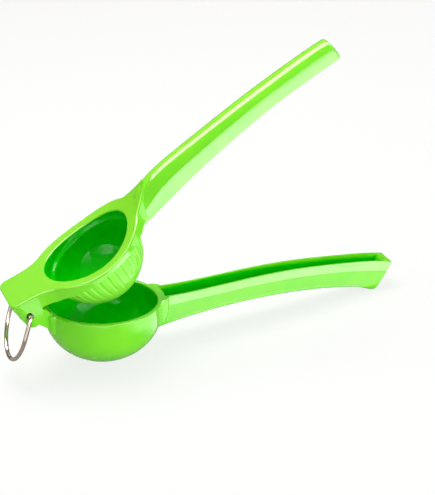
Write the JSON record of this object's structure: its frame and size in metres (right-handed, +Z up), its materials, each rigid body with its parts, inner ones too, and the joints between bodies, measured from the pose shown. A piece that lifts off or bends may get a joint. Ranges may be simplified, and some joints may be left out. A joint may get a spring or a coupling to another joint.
{
  "type": "lemon squeezer",
  "caption": "Hand-held hinged citrus press: a ribbed bowl on one lever pushes half a fruit into a drained cup on the other, with a wire ring to hang it by.",
  "frame": {"origin": "middle of the footprint, on the surface that the squeezer stands on", "axes": "+X from the hinge to the ends of the handles, +Y along the hinge axis, +Z up"},
  "size_m": [0.2285, 0.069, 0.1535],
  "materials": {
    "cup_enamel": "glossy lime green enamel on cast aluminium",
    "press_enamel": "glossy lime green enamel on cast aluminium",
    "pin_steel": "drawn steel tube",
    "ring_chrome": "polished chrome wire"
  },
  "bodies": {
    "cup_lever": {"cup_arm": "cup_enamel"},
    "press_lever": {"press_arm": "press_enamel", "hinge_pin": "pin_steel"},
    "ring": {"hanging_ring": "ring_chrome"}
  },
  "joints": [
    {"name": "press_hinge", "type": "hinge", "parent": "cup_lever", "child": "press_lever", "pos_m": [-0.10049, 0, 0.04324], "axis": [0, -1, 0], "range_deg": [-34.7, 78]},
    {"name": "ring_swing", "type": "hinge", "parent": "cup_lever", "child": "ring", "pos_m": [-0.10049, 0, 0.04324], "axis": [0, -1, 0], "range_deg": [-184, 48]}
  ]
}
